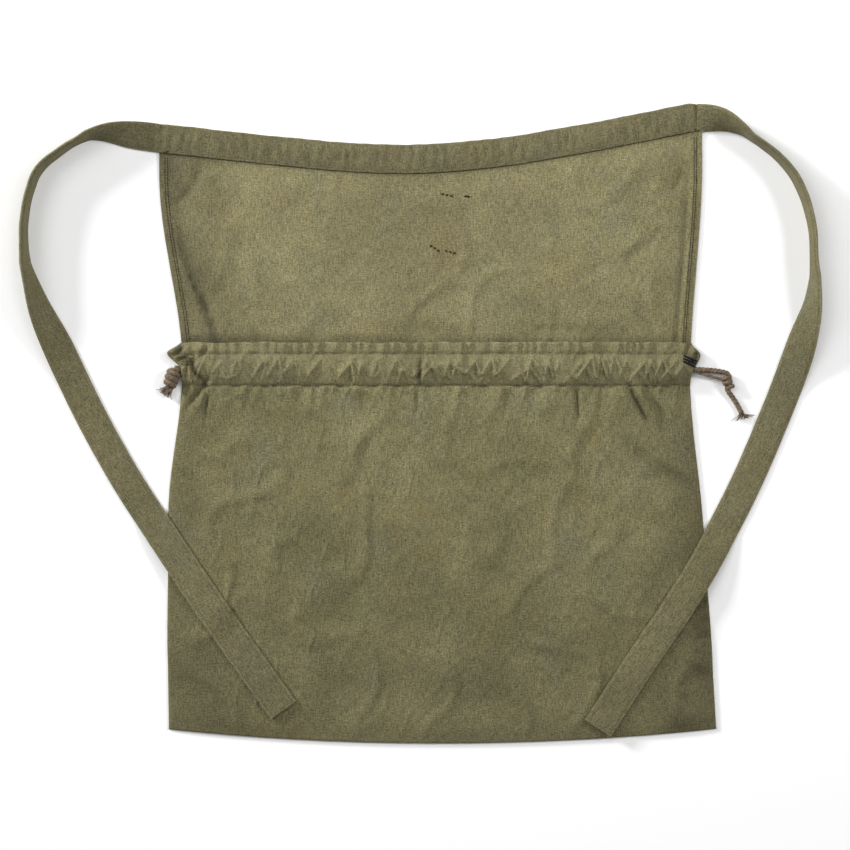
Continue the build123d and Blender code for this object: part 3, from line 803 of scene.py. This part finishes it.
def front_height(x, y):
    """Height of the front's upper surface above the table."""
    side = -1 if x < 0 else 1
    inside = side * (front_edge(side, y) - x)
    mouth = sin(pi * min(1.0, max(0.0, (y - ROW_LOW) / MOUTH_WIDE)))
    near = ease(y, ROW_LOW - 2, CORD_Y - 3) * (1 - ease(y, ROW_HIGH, HEADER_TOP + 3))
    full = 1 - exp(-inside / 26)
    radius = 1.1 + 0.8 * (1 - exp(-inside / 12))
    rising = 1 - exp(-max(0.0, y - fold_y(x) - radius) / 13)
    edge = 2 * radius + (8.4 - 2 * radius) * near
    high = edge + (8.5 - edge) * full * rising + 1.2 * full * ease(y, ROW_HIGH - 6, HEADER_TOP)
    high += (0.9 + 3.4 * full) * mouth ** 0.7
    quiet = ease(inside, 2, 30) * rising
    high += quiet * (3.0 * hills(x, y, 105, 1.4) + 1.8 * hills(x, y, 42, 6.6))
    high += quiet * (1.7 * ease(ridges(x, y, 70, 8.2), 0.72, 1) + 0.8 * ease(ridges(x, y, 30, 5.9), 0.75, 1))
    below = exp(-max(0.0, ROW_LOW - y) / 24)
    if y < ROW_LOW:
        broad = zigzag(x / 31 + 0.9 * hills(x, y, 60, 2.2)) ** 1.6
        fine = zigzag(x / 12.5 + 1.1 * hills(x, y, 28, 7.2)) ** 1.5
        high += below * ((broad - 0.4) * 3.0 + (fine - 0.4) * 2.4 * exp(-(ROW_LOW - y) / 11))
    elif y < ROW_HIGH:
        high += (gathers(x, y) - 0.3) * (1.5 + 4.4 * mouth)
        high += mouth * (0.4 * hills(x, y, 4.5, 8.8) + 1.6 * hills(x, 0.5 * y, 17, 1.8))
    else:
        frill = zigzag(x / 11.5 + 1.2 * hills(x, y * 0.3, 24, 9.4)) ** 1.3
        high += (frill - 0.45) * (1.3 + 1.5 * ease(y, ROW_HIGH, HEADER_TOP))
    high -= 0.8 * row_dip(y) * (0.4 + 0.6 * full)
    high += 2.0 * ease(inside, 1, 5) * sum(crease(x, y, line) for line in FRONT_CREASES)
    if y > HEADER_TOP - 1.6:  # the folded edge of the frill
        high -= 0.8 * ease(y, HEADER_TOP - 1.6, HEADER_TOP + 1.5)
    rolled = 1 - min(1.0, inside / 1.5)
    high -= (1.3 + 1.6 * near) * (1 - (1 - rolled ** 2) ** 0.5)
    return high


# %% The two halves of the front
WRAP = 8  # rows round the bottom fold
FRONT_ROWS = steps(0, ROW_LOW - 10 - FOLD_Y, 80) + steps(ROW_LOW - 10 - FOLD_Y, HEADER_TOP - FOLD_Y, 60)
FRONT_ROWS += [HEADER_TOP - FOLD_Y]
FRONT_EDGE = [0, 0.0015, 0.0045, 0.009]
FRONT_ACROSS = [1 - v for v in FRONT_EDGE + steps(0.014, 1, 230)] + [0]


def front_place(side, u, v):
    share = stop(FRONT_ACROSS, u)
    at = v * (WRAP + len(FRONT_ROWS) - 1) - WRAP
    if at < -0.01:
        x = share * side * abs(front_edge(side, FOLD_Y))
        inside = (1 - share) * 250
        radius = 1.1 + 0.8 * (1 - exp(-inside / 12))
        turn = pi * (at / WRAP)  # from -pi, underneath, to 0, on top
        z = radius + radius * cos(turn)
        return x, fold_y(x) + radius - radius * sin(-turn), max(z, 0.05)
    up = stop(FRONT_ROWS, min(1.0, at / (len(FRONT_ROWS) - 1)))
    x = share * side * abs(front_edge(side, FOLD_Y + up))
    radius = 1.1 + 0.8 * (1 - exp(-(1 - share) * 250 / 12))
    blend = ease(up, 0, HEADER_TOP - FOLD_Y)
    y = (fold_y(x) + radius) * (1 - blend) + (FOLD_Y + 1.9) * blend + up * (1 - 1.9 / (HEADER_TOP - FOLD_Y))
    y += 1.4 * ease(up, ROW_HIGH - FOLD_Y, HEADER_TOP - FOLD_Y) * hills(x, 5, 13, 3.1)
    x = share * side * abs(front_edge(side, y))
    return x, y, front_height(x, y)


def front_shade(at):
    """Painted shade in the hollows of the gathers, in creases, at the frill's folded corners and along each
    row of sewing, and darker towards the bottom and the sides.
    """
    x, y = at.xy
    inside = edge_x(1, y) - x if x > 0 else x - edge_x(-1, y)
    fold_shade = min(0.3, max(0.0, -0.16 * sum(crease(x, y, line) for line in FRONT_CREASES)))
    fold_shade += 0.4 * ease(abs(x), 225, 235) * ease(y, 84, 92) * max(0.0, 0.5 + hills(x, y, 4.5, 2.6))
    # painted shade: darker towards the bottom of the pouch and towards its sides
    falloff_shade = 0.17 * (1 - ease(y, -225, 40)) + (0.2 if x < 0 else 0.26) * (1 - ease(inside, 0, 75))
    if y < ROW_LOW - 22:
        return max(0.0, falloff_shade * (1 + 0.8 * hills(x, y, 45))) + fold_shade
    hollow = 0.12 * (1 - ease(gathers(x, y), 0.0, 0.25)) if ROW_LOW < y < ROW_HIGH else 0.0
    return min(0.6, hollow + 0.7 * falloff_shade + 0.14 * row_dip(y) * (0.6 + 0.9 * hills(x, y, 5)) + fold_shade)


def front_wear_and_highlight(u, at):
    """Paler thread along the folded edges and at the bottom fold, paler crests that are partly a painted
    highlight, and a paler mouth.
    """
    x, y = at.xy
    crest = 0.45 * ease(gathers(x, y), 0.5, 0.9) if ROW_LOW < y < ROW_HIGH else 0.0
    fold = 0.25 * (1 - ease(y, FOLD_Y + 3, FOLD_Y + 9)) * (0.6 + 0.4 * hills(x, y, 12))
    frill = 0.75 * ease(y, HEADER_TOP - 1.6, HEADER_TOP - 0.4) * (0.7 + 0.5 * hills(x, 2, 9))
    mouth = 0.24 * ease(y, ROW_LOW - 6, ROW_LOW + 4)
    return max(crest, fold, frill, mouth, 0.35 * (1 - ease(u, 0.004, 0.02)))


fronts = {}
for side, name in ((-1, "left"), (1, "right")):
    fronts[side] = cloth_piece(
        f"pouch_front_{name}", len(FRONT_ACROSS) - 1, WRAP + len(FRONT_ROWS) - 1,
        lambda u, v, side=side: front_place(side, u, v), drill_front, DRILL,
        wear_and_highlight=lambda u, v, at: front_wear_and_highlight(u, at), shade=lambda u, v, at: front_shade(at))
    print("front", name, "has", len(fronts[side].data.polygons), "faces")

# %% [markdown]
# ## Waistband
# The band is a strip of the same drill folded over the top edge and sewn along both its edges. Sewing pulls
# the cloth together, so the band puffs up a little between its rows and puckers across.

# %% Waistband
BAND_LEFT, BAND_RIGHT = -269.5, 245
BAND_ACROSS = [0, 0.01, 0.04] + steps(0.08, 0.93, 12) + [0.93, 0.965, 0.99, 1.0]


def band_puckers(x, t):
    wave = zigzag(x / 12 + 1.3 * hills(x, t * 9, 24, 2.8)) ** 1.5
    return (wave - 0.4) * sin(pi * t) + 0.4 * hills(x, t * 26, 9, 5.5)


def band_place(u, v):
    x = BAND_LEFT + (BAND_RIGHT - BAND_LEFT) * u
    t = stop(BAND_ACROSS, v)
    out = (1 - (2 * t - 1) ** 8) ** 0.5 if 0 < t < 1 else 0
    high = 1.9 + 0.8 * out + 1.2 * sin(pi * t) + 1.1 * band_puckers(x, t) * out
    high -= 0.45 * (exp(-((t - 0.1) / 0.04) ** 2) + exp(-((t - 0.9) / 0.04) ** 2))
    wander = 0.5 * hills(x, 0, 30, 1.7) + 0.35 * hills(x, 0, 9, 4.7)
    ends = ease(x, BAND_LEFT, BAND_LEFT + 9) * (1 - ease(x, BAND_RIGHT - 9, BAND_RIGHT))
    wide = BAND_WIDE - 4.0 * ease(x, BAND_RIGHT - 17, BAND_RIGHT)
    high = 1.6 + (high - 1.6) * ends
    return x, band_y(x) + wide * t + wander * ends, max(1.0 if t < 1 else 0.9, high)


def band_wear_and_highlight(u, v, at):
    t = stop(BAND_ACROSS, v)
    # rubbed pale at the edges; the paler pucker crests are partly a painted highlight
    return max(0.4 * (1 - ease(min(t, 1 - t), 0, 0.06)), 0.12 * ease(band_puckers(at.x, t), 0.2, 0.7))


def band_shade(u, v, at):
    # painted shade in the hollows between the puckers
    return 0.22 * (1 - ease(band_puckers(at.x, stop(BAND_ACROSS, v)), -0.5, 0.0))


band = cloth_piece("waistband_cloth", 330, len(BAND_ACROSS) - 1, band_place, drill_band, DRILL,
                   wear_and_highlight=band_wear_and_highlight,
                   shade=band_shade)

# %% [markdown]
# ## Waist ties
# Each tie is a long flat tube of drill. It leaves the end of the band flat, stands on its edge round the
# belly of its loop, since a strip can't turn that sharply in its own plane, and lies flat again on the
# pouch. Its centreline is a smooth Bezier curve through the places that the CAD tie goes through.

# %% Heights of what lies below
def surface(*objects):
    """A search tree of the upper surfaces of some pieces."""
    bm = bmesh.new()
    for made in objects:
        bm.from_mesh(made.data)
    tree = BVHTree.FromBMesh(bm)
    bm.free()
    return tree


def top_of(tree, x, y):
    """Height of the highest surface at (x, y) in mm, or 0 on the table."""
    hit = tree.ray_cast(Vector((x * MM, y * MM, 0.1)), Vector((0, 0, -1)))[0]
    return hit.z / MM if hit else 0.0


cloth_top = surface(body, *fronts.values(), band)

# %% Ties
TIE_WIDE = 28.6
TIE_THICK = 1.8
TIE_LEAN = 86
SPLIT = 0.88  # the outer part of a standing tie curls over, from this share of its width
UPPER_LEAN = 0.55
FOOT_IN = 3.2  # a standing tie's lower edge is this far inside its route
TIES = {
    "left": dict(
        route=[(-260, 297.3), (-267, 298.2), (-284, 299.4), (-314, 300.2), (-331, 295.8), (-351, 284),
               (-369.5, 268), (-377.5, 250), (-382.8, 228), (-384.2, 204), (-380.6, 177.6),
               (-350.6, 99.9), (-298.3, -3.7), (-247, -83.3), (-193.5, -161), (-144.3, -230.3)],
        outward=-1, stands=(-11, 79, 185, 337)),
    "right": dict(
        route=[(237, 315.6), (250, 314.9), (262, 311.8), (280, 302.6), (299, 290.5), (317, 273.5),
               (333, 249), (341.2, 225), (344.8, 196), (344.6, 168), (337.2, 122.1),
               (303.4, 25.9), (253.5, -78.6), (222, -131), (184.1, -186.9), (145.2, -247)],
        outward=1, stands=(-16, 58, 182, 318)),
}


def bezier_points(route, step):
    """Evenly spaced points along a smooth Bezier curve through a route; all in mm."""
    curve = bpy.data.curves.new("route", "CURVE")
    curve.dimensions = "3D"
    curve.resolution_u = 24
    line = curve.splines.new("BEZIER")
    line.bezier_points.add(len(route) - 1)
    for point, (x, y) in zip(line.bezier_points, route):
        point.co = (x, y, 0)
        point.handle_left_type = point.handle_right_type = "AUTO"
    made = bpy.data.objects.new("route", curve)
    bpy.context.scene.collection.objects.link(made)
    points, length = resample(read_line(made), step)
    bpy.data.objects.remove(made)
    return points, length


def tie_frames(tie):
    """Rows along a tie: (inner edge, outward direction, lean in radians, bed height, distance along)."""
    points, length = bezier_points(tie["route"], 2.4)
    ways = directions(points)
    rise, full, fall, flat = tie["stands"]
    rows, beds = [], []
    for n, (at, way) in enumerate(zip(points, ways)):
        along = length * n / (len(points) - 1)
        out = Vector((-way.y, way.x, 0)) * tie["outward"]
        lean = radians(TIE_LEAN) * (ease(along, rise, full) - ease(along, fall, flat))
        reach = TIE_WIDE / 2 * max(0.25, cos(lean))
        beds.append(max(top_of(cloth_top, *(at + out * reach * k).xy) for k in (-1, -0.5, 0, 0.5, 1)))
        if along < 36:
            beds[-1] = 0.0
        rows.append([at, out, lean, 0.0, along])
    step = length / (len(points) - 1)
    for n in reversed(range(len(beds) - 1)):
        beds[n] = max(beds[n], beds[n + 1] - 0.2 * step)
    for n, row in enumerate(rows):
        window = beds[max(0, n - 3):n + 4]
        row[3] = max(sum(window) / len(window), beds[n] - 0.3) if beds[n] > 0 else 0.0
    return rows, length


def tie_point(rows, along, t, seed):
    """A point on a tie: along is its row, and t goes from 0 at its inner edge to 1 at its outer edge."""
    at, out, lean, bed, far = rows[along]
    wide = BAND_WIDE + (TIE_WIDE - BAND_WIDE) * ease(far, 0, 60)
    standing = lean / radians(TIE_LEAN)
    flatness = 1 - standing
    steep, upper = lean * 1.02, lean * UPPER_LEAN
    inner, outer = min(t, SPLIT) * wide, max(0.0, t - SPLIT) * wide
    sideways = inner * cos(steep) + outer * cos(upper)
    upward = inner * sin(steep) + outer * sin(upper)
    across = SPLIT * wide * cos(steep) + (1 - SPLIT) * wide * cos(upper)
    crumple = (0.6 * hills(far, t * wide, 16, seed) + 0.4 * hills(far, t * wide, 7, seed + 4)) * sin(pi * t)
    twist = standing * 1.3 * hills(far, t * 20, 42, seed + 8)
    lie = bed + 0.35 + TIE_THICK * cos(steep) + 0.5 * abs(hills(far, t * 10, 30, seed + 2)) * flatness
    spot = at + out * (sideways - max(across / 2, FOOT_IN * standing) + twist - standing * crumple)
    spot.z = lie + upward + (0.7 * sin(pi * t) + crumple) * flatness
    if t < 0.04 or t > 0.96:
        spot.z -= 0.5 * flatness
    return spot


TIE_ACROSS = [0, 0.03, 0.1] + steps(0.16, 0.86, 10) + [0.86, 0.92, 0.97, 1.0]
ties, tie_rows_of, tie_lengths = {}, {}, {}
for name, tie in TIES.items():
    seed = 11.3 if name == "left" else 27.9
    rows, length = tie_frames(tie)

    def tie_place(u, v, rows=rows, seed=seed):
        return tie_point(rows, round(v * (len(rows) - 1)), stop(TIE_ACROSS, u), seed)

    def tie_flat(u, v, length=length, seed=seed):
        return stop(TIE_ACROSS, u) * TIE_WIDE + 100 * seed, v * length

    def tie_wear(u, v, at):
        t = stop(TIE_ACROSS, u)
        return 0.35 * (1 - ease(min(t, 1 - t), 0.0, 0.07))

    ties[name] = cloth_piece(f"waist_tie_{name}", len(TIE_ACROSS) - 1, len(rows) - 1, tie_place, drill_band,
                             TIE_THICK, flat=tie_flat, wear_and_highlight=tie_wear)
    tie_rows_of[name] = (rows, seed)
    tie_lengths[name] = length
    print(name, "tie is", round(length), "mm long in", len(rows), "rows")

# %% [markdown]
# ## Sewing
# The apron is sewn with lockstitch. Each stitch shows as a short thread sunk at both ends, so a row is a
# chain of small capsules, 2.5 mm from one to the next. A capsule has few faces because there are
# thousands of them. Rows are laid on the cloth by looking straight down onto it.

# %% Rows of stitches
PITCH = 2.5


def walk(line, pitch=PITCH):
    """Points in mm, a pitch apart, along a line of (x, y) places."""
    return resample([Vector((x, y, 0)) for x, y in line], pitch)[0]


def sew(name, rows, material, long=1.7, thick=0.55, seed=2):
    """Stitches along rows of points in mm, each a little uneven."""
    rng = Random(seed)
    bm, part = bmesh.new(), bmesh.new()
    for row in rows:
        for at, way in zip(row, directions(row)):
            if at.z < 0.7:  # past the edge of the cloth
                continue
            turn = (way.to_track_quat("X", "Z").to_matrix().to_4x4()
                    @ Matrix.Rotation(rng.gauss(0, 0.09), 4, "Z"))
            size = Matrix.Diagonal((long / 2 * rng.uniform(0.85, 1.1), thick / 2, thick / 2, 1))
            bmesh.ops.create_uvsphere(part, u_segments=6, v_segments=4, radius=MM,
                                      matrix=Matrix.Translation(at * MM) @ turn @ size)
            if len(part.verts) > 600:
                join(bm, part)
                part = bmesh.new()
    join(bm, part)
    return finished(name, bm, material)


def laid(tree, row, lift=0.12):
    """A row of points laid on a surface."""
    return [Vector((p.x, p.y, top_of(tree, p.x, p.y) + lift)) for p in row]


# %% Sewing on the band, hems and mouth
band_top, body_top = surface(band), surface(body)
band_xs = steps(BAND_LEFT + 6, BAND_RIGHT - 4, 120)
band_sewing = sew("waistband_sewing", [laid(band_top, walk([(x, band_y(x) + up) for x in band_xs]))
                                       for up in (2.6, BAND_WIDE - 2.8)], thread_olive)
# a row of thick dark thread along the band's lower edge: the seam, and also a painted shadow line under the
# band's edge
seam_line = [(x, band_y(x) - 0.35) for x in steps(-258, 242, 120)]
band_seam_and_shadow = sew("waistband_seam_and_shadow_line", [laid(body_top, walk(seam_line), 0.3)], thread_hem, long=2.7, thick=0.9)
hem_sewing = {}
for side, name in ((-1, "left"), (1, "right")):
    ys = steps(HEADER_TOP - 4, 283 if side < 0 else 303, 40)
    hem_sewing[side] = sew(f"hem_sewing_{name}",
                           [laid(body_top, walk([(edge_x(side, y) - side * inset, y) for y in ys]))
                            for inset in HEM_ROWS], thread_hem, long=2.5, thick=0.75)
mouth_sewing = {}
for side, name in ((-1, "left"), (1, "right")):
    tree = surface(fronts[side])
    xs = steps(1.2, 232, 60)
    mouth_sewing[side] = sew(f"mouth_sewing_{name}",
                             [laid(tree, walk([(side * x, y + 0.5 * hills(x, side, 40)) for x in xs]))
                              for y in (ROW_LOW, ROW_HIGH)], thread_olive, thick=0.7)

# %% Sewing on the ties
tie_sewing = {}
for name, (rows, seed) in tie_rows_of.items():
    chains = []
    for t in (0.11, 0.89):
        path = [tie_point(rows, n, t, seed) for n in range(3, len(rows) - 2)]
        chains.append([p + Vector((0, 0, 0.15)) for p in resample(path, PITCH)[0]])
    end = [tie_point(rows, len(rows) - 2, t, seed) for t in (0.13, 0.25, 0.4, 0.55, 0.7, 0.87)]
    chains.append([p + Vector((0, 0, 0.15)) for p in resample(end, PITCH)[0]])
    tie_sewing[name] = sew(f"tie_sewing_{name}", chains, thread_olive)

# %% [markdown]
# Short work in other threads: dense bartacks where the band ends on the hems, four marks of brown thread left
# from something once sewn to the body, and the navy buttonhole stitches round the drawstring's way out.

# %% Bartacks, brown marks and buttonhole stitches
def hatch(x, y, wide, long, count, turn=0.0, tree=None, z=None):
    """Rows of parallel stitches that fill a small patch."""
    rows = []
    for n in range(count):
        across = (n / max(1, count - 1) - 0.5) * long
        ends = [Vector((-wide / 2, across, 0)), Vector((0, across + 0.1, 0)), Vector((wide / 2, across, 0))]
        spun = [Matrix.Rotation(radians(turn), 3, "Z") @ p + Vector((x, y, 0)) for p in ends]
        rows.append(laid(tree, spun, 0.25) if tree else [Vector((p.x, p.y, z)) for p in spun])
    return rows


whole_top = surface(body, band)
bartack_rows = hatch(-253, 284.6, 3.4, 1.4, 3, 10, whole_top) + hatch(237, 304.2, 3.4, 1.4, 3, -8, whole_top)
bartacks = sew("bartacks", bartack_rows, thread_dark, long=2.0, thick=0.5, seed=3)
MARKS = [(6.5, 244.7, -12, 8), (25, 243.4, -5, 3), (-5, 195.5, -32, 8), (9.5, 192, -12, 8)]
mark_rows = [row for x, y, turn, long in MARKS for row in hatch(x, y, long, 1.1, 3, turn, body_top)]
marks = sew("brown_thread_marks", mark_rows, thread_dark, long=3.2, thick=0.75, seed=8)
eyelet_sewing = {}
for side, name, xs, y0 in ((-1, "left", (-238, -228), 91), (1, "right", (224, 238), 90.5)):
    tree = surface(fronts[side], body)
    rows = []
    count = 22 if side > 0 else 9
    for n in range(count):
        x = xs[0] + (xs[1] - xs[0]) * n / (count - 1)
        y = y0 + (3 - 6 * n / (count - 1) if side > 0 else 0)
        stitch = [Vector((x, y - 2.6, 0)), Vector((x + 0.5, y, 0)), Vector((x + 1, y + 2.6, 0))]
        rows.append(laid(tree, stitch, 0.3))
    eyelet_sewing[side] = sew(f"eyelet_sewing_{name}", [row for row in rows if min(p.z for p in row) > 1],
                              thread_navy if side > 0 else thread_hem,
                              long=2.9, thick=1.0 if side > 0 else 0.6, seed=6)

# %% [markdown]
# Loose thread ends curl away from the ties and lie on the pouch. They are what tells old sewing from new.

# %% Loose threads
def loose_thread(name, x, y, reach, turns, seed, tree, material):
    rng = Random(seed)
    heading = rng.uniform(0, 2 * pi)
    points = []
    place = Vector((x, y, 0))
    for n in range(26):
        heading += turns * 2 * pi / 25 + rng.gauss(0, 0.12)
        place = place + Vector((cos(heading), sin(heading), 0)) * reach / 25
        points.append(Vector((place.x, place.y, top_of(tree, place.x, place.y) + 0.35)) * MM)
    bm = bmesh.new()
    add_tube(bm, points, 0.26 * MM, sides=5)
    return finished(name, bm, material)


everything = surface(body, band, *fronts.values(), *ties.values())
LOOSE = [("loose_thread_left_tie", -189.6, -139.7, 12, 0.8, 3, "left"),
         ("loose_thread_left_end", -138.7, -229, 10, 0.6, 5, "left"),
         ("loose_thread_left_belly", -383, 198, 12, 1.2, 7, "left"),
         ("loose_thread_right_tie", 211, -126.7, 11, 0.7, 9, "right")]
loose = [(loose_thread(name, x, y, reach, turns, seed, everything, thread_olive), side)
         for name, x, y, reach, turns, seed, side in LOOSE]

# %% [markdown]
# Under the channel the hem's inner layer carries the drawstring, which runs through it from side to side.

# %% Lining of the channel and the drawstring inside it
linings, runs = {}, {}
for side, name in ((-1, "left"), (1, "right")):
    linings[side] = cloth_piece(
        f"channel_lining_{name}", 70, 10,
        lambda u, v, side=side: (side * 196 * u, 71 + 25 * v,
                                 6.6 - 2.5 * u ** 5 - 0.5 * sin(pi * v) + 0.3 * hills(u * 196, v * 25, 12)),
        drill_front, DRILL)
    run_line = [Vector((side * x, CORD_Y, 8.4 - 3.1 * ease(x, 178, 204))) * MM for x in steps(0.6, 195, 60)]
    runs[side], _, _ = braid(f"drawstring_run_{name}", run_line, 3.6 * MM, cord_taupe)

# %% [markdown]
# ## Which piece moves with what
# The body, the band and what is sewn on them ride on the frame's apron body, and the cord's pieces on its
# drawstring body. The front's pieces, the ties and what goes with them only have their places baked in.

# %% Riding, and baked places
def bends(made):
    """A piece of the front: its place is baked into its mesh."""
    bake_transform(made)


def swings(made):
    """A piece of a tie: its place is baked into its mesh."""
    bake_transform(made)


still = [body, band, band_sewing, band_seam_and_shadow, *hem_sewing.values(), bartacks, marks]
for made in still:
    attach(made, "apron")
for side in (-1, 1):
    for made in (fronts[side], mouth_sewing[side], linings[side], runs[side], eyelet_sewing[side]):
        bends(made)
for name in TIES:
    swings(ties[name])
    swings(tie_sewing[name])
for made, name in loose:
    swings(made)
drawn = [cord_right, cord_left, knot_left, knot_right, strand_right, tuft_left, tuft_right]
for made in drawn:
    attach(made, "drawstring")

# %% What each piece stands for
STANDS_FOR = [
    (body, ["back_cloth", "side_hem_left", "side_hem_right"]),
    (band, ["waistband"]),
    (band_sewing, ["waistband_stitching"]),
    (bartacks, ["waistband_bartacks"]),
    (marks, ["repair_stitches"]),
    (hem_sewing[-1], ["side_hem_stitching_left"]),
    (hem_sewing[1], ["side_hem_stitching_right"]),
    (fronts[-1],
     ["pouch_margin_left", "side_seam_left", "header_corner_left", "channel_end_left", "bottom_fold"]),
    (fronts[1], ["pouch_margin_right", "side_seam_right", "header_corner_right", "channel_end_right",
                 "pouch_front", "channel", "mouth_header"]),
    (mouth_sewing[1], ["channel_stitching"]),
    (eyelet_sewing[-1], ["eyelet_left"]),
    (eyelet_sewing[1], ["eyelet_right"]),
    (runs[1], ["drawstring_run"]),
    (cord_left, ["drawstring_left_end"]),
    (cord_right, ["drawstring_right_end"]),
    (knot_left, ["left_stop_knot"]),
    (knot_right, ["right_stop_knot"]),
    (strand_right, ["right_return_strand"]),
    (tuft_left, ["left_frayed_tip"]),
    (tuft_right, ["right_frayed_tip"]),
    (ties["left"], ["left_tie"]),
    (ties["right"], ["right_tie"]),
    (tie_sewing["left"], ["left_tie_stitching"]),
    (tie_sewing["right"], ["right_tie_stitching"]),
]
for made, nodes in STANDS_FOR:
    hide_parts(*nodes)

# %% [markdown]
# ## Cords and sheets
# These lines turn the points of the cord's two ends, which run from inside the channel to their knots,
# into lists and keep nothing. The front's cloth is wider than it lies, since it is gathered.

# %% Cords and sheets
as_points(right_points)
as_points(left_points)
for side in (-1, 1):
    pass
